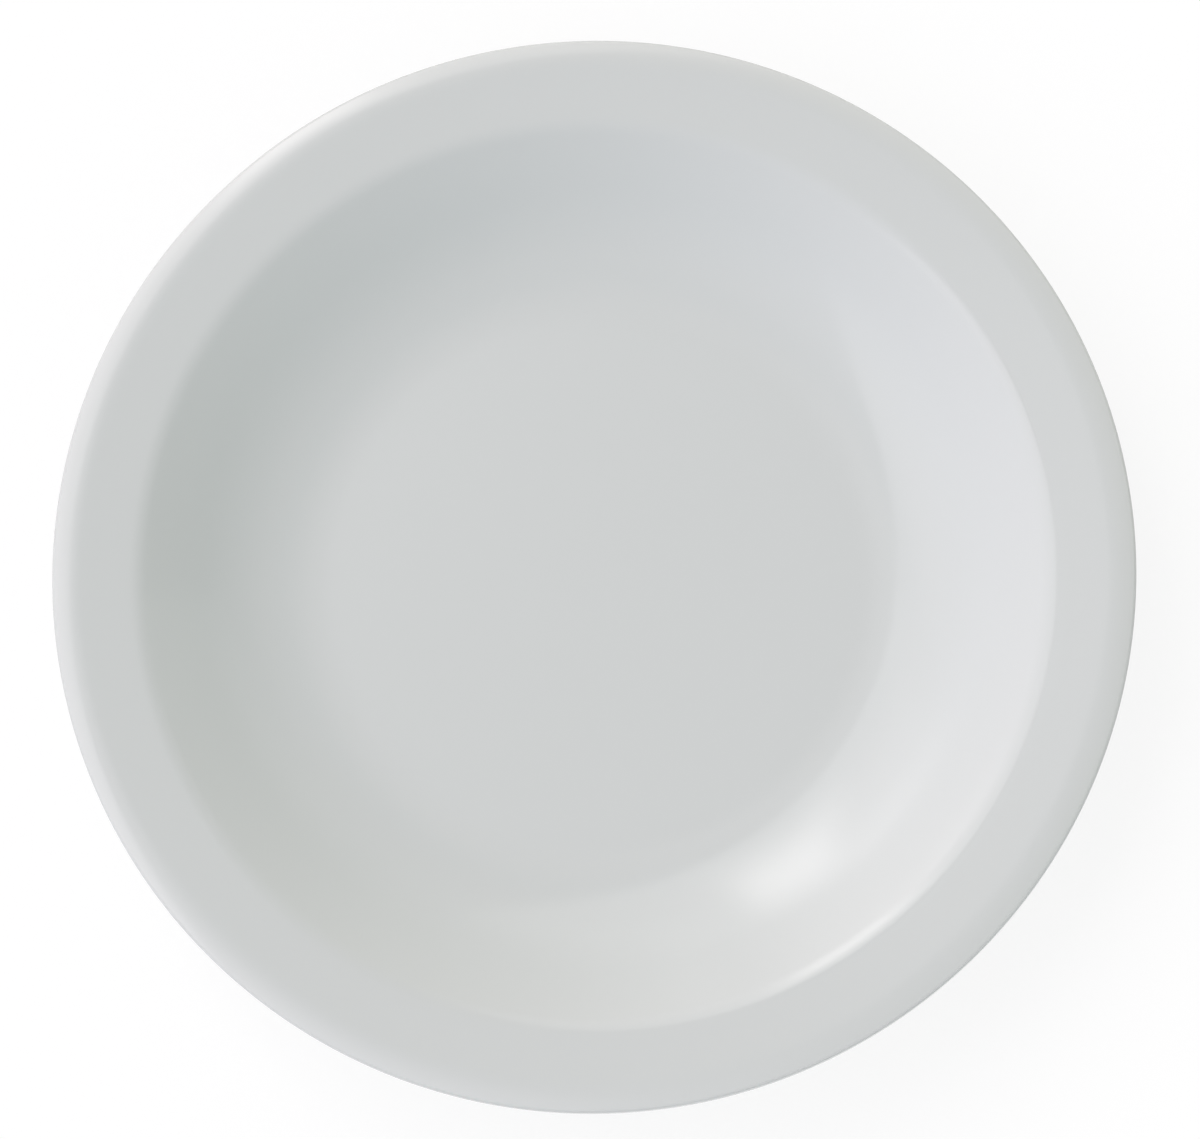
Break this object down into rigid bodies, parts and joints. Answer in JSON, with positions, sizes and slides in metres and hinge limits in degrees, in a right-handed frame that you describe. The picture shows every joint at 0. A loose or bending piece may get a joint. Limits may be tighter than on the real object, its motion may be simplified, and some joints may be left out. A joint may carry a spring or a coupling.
{
  "type": "side plate",
  "caption": "Round white glazed porcelain side plate with a flat-floored well, a curved wall, a narrow rim and a bare foot ring.",
  "frame": {"origin": "centre of the foot ring, on the surface that the plate stands on", "axes": "+Z is the axis of the turned shape, up out of the well; X and Y lie in the plane of the foot and are alike"},
  "size_m": [0.165, 0.165, 0.0195],
  "materials": {
    "bisque": "bare fired clay, matte and finely grained",
    "glaze": "glossy white glaze",
    "recess_glaze": "glossy white glaze, a little less even than on the upper side"
  },
  "bodies": {
    "root": {"porcelain_body": "bisque", "glaze_coat": "glaze", "base_glaze": "recess_glaze"}
  },
  "joints": []
}
